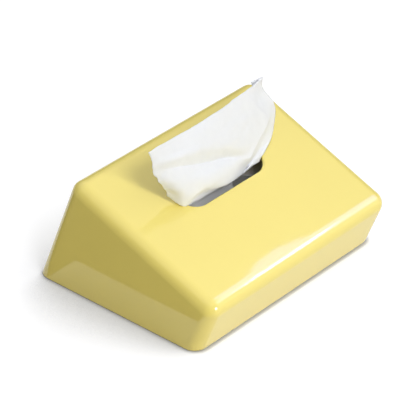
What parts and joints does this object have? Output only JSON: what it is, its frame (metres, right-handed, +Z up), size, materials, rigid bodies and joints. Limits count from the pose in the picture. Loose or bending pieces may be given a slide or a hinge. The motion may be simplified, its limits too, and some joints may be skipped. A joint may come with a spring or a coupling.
{
  "type": "tissue box cover",
  "caption": "Glossy wedge-shaped cover with a round-ended slot in its sloping top, standing over a carton of tissues with one tissue drawn up through the slot.",
  "frame": {"origin": "on the table, in the middle of the cover's outline seen from above", "axes": "+X along the slot, -Y towards the low front, +Z up"},
  "size_m": [0.26, 0.2211, 0.1712],
  "materials": {
    "yellow_gloss": "glossy moulded, pale yellow",
    "carton_board": "plain white-lined board",
    "clear_film": "thin clear film",
    "white_tissue": "soft white tissue paper"
  },
  "bodies": {
    "carton": {"tissue_carton": "carton_board", "carton_film": "clear_film", "tissue_stack": "white_tissue", "next_tissue": "white_tissue"},
    "cover": {"cover_shell": "yellow_gloss"},
    "tissue": {"pop_up_tissue": "white_tissue"}
  },
  "joints": [
    {"name": "cover_lift", "type": "slide", "parent": "carton", "child": "cover", "axis": [0, 0, 1], "range_m": [0, 0.15]},
    {"name": "tissue_pull", "type": "slide", "parent": "cover", "child": "tissue", "axis": [0, 0, 1], "range_m": [0, 0.09]}
  ]
}
